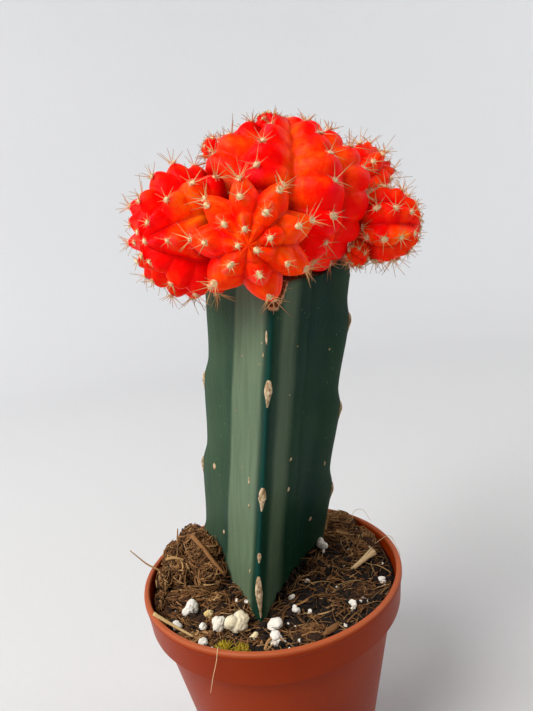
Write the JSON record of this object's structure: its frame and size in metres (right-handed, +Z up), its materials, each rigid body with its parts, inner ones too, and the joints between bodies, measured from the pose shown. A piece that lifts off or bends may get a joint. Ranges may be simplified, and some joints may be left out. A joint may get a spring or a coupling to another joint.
{
  "type": "potted moon cactus",
  "caption": "Grafted cactus: a red ribbed globe with offsets and fine spines on a green three-ribbed rootstock, standing in a small tapered pot of soil.",
  "frame": {"origin": "centre of the pot's standing face", "axes": "+Z up along the pot's axis; -Y towards the viewer, the side that the front offset faces; +X to the viewer's right"},
  "size_m": [0.0664, 0.0598, 0.1404],
  "materials": {
    "pot_plastic": "moulded terracotta-coloured polypropylene, satin gloss",
    "potting_soil": "dark peat with coir fibre, matt",
    "coir_fibre": "matted brown coir, matt",
    "stem_skin": "waxy dark green cactus skin with corky areoles",
    "scion_flesh": "waxy red flesh, orange in places, without chlorophyll",
    "perlite": "expanded white mineral grain, rough",
    "moss": "yellow-green moss, matt",
    "dry_wood": "bare dry twig and bark",
    "dry_straw": "dry pale straw",
    "spines": "straw to brown spines on a cushion of cream wool"
  },
  "bodies": {
    "root": {"bark_chip": "dry_wood", "bud_left": "scion_flesh", "bud_top": "scion_flesh", "coir_clump": "coir_fibre", "fibre_over_rim": "coir_fibre", "moss_tuft_1": "moss", "moss_tuft_2": "moss", "offset_back_left": "scion_flesh", "offset_back_right": "scion_flesh", "offset_front": "scion_flesh", "offset_left": "scion_flesh", "offset_low_right": "scion_flesh", "offset_right": "scion_flesh", "offset_upper_right": "scion_flesh", "perlite_01": "perlite", "perlite_02": "perlite", "perlite_03": "perlite", "perlite_04": "perlite", "perlite_05": "perlite", "perlite_06": "perlite", "perlite_07": "perlite", "perlite_08": "perlite", "perlite_09": "perlite", "perlite_10": "perlite", "perlite_11": "perlite", "perlite_12": "perlite", "perlite_13": "perlite", "perlite_14": "perlite", "perlite_15": "perlite", "perlite_16": "perlite", "pot": "pot_plastic", "rootstock_stem": "stem_skin", "scion_body": "scion_flesh", "soil": "potting_soil", "spine_cluster_01": "spines", "spine_cluster_02": "spines", "spine_cluster_03": "spines", "spine_cluster_04": "spines", "spine_cluster_05": "spines", "spine_cluster_06": "spines", "spine_cluster_07": "spines", "spine_cluster_08": "spines", "spine_cluster_09": "spines", "spine_cluster_10": "spines", "spine_cluster_11": "spines", "spine_cluster_12": "spines", "spine_cluster_13": "spines", "spine_cluster_14": "spines", "spine_cluster_15": "spines", "spine_cluster_16": "spines", "straw_on_soil": "dry_straw", "straw_over_rim": "dry_straw", "wood_stick": "dry_wood"}
  },
  "joints": []
}
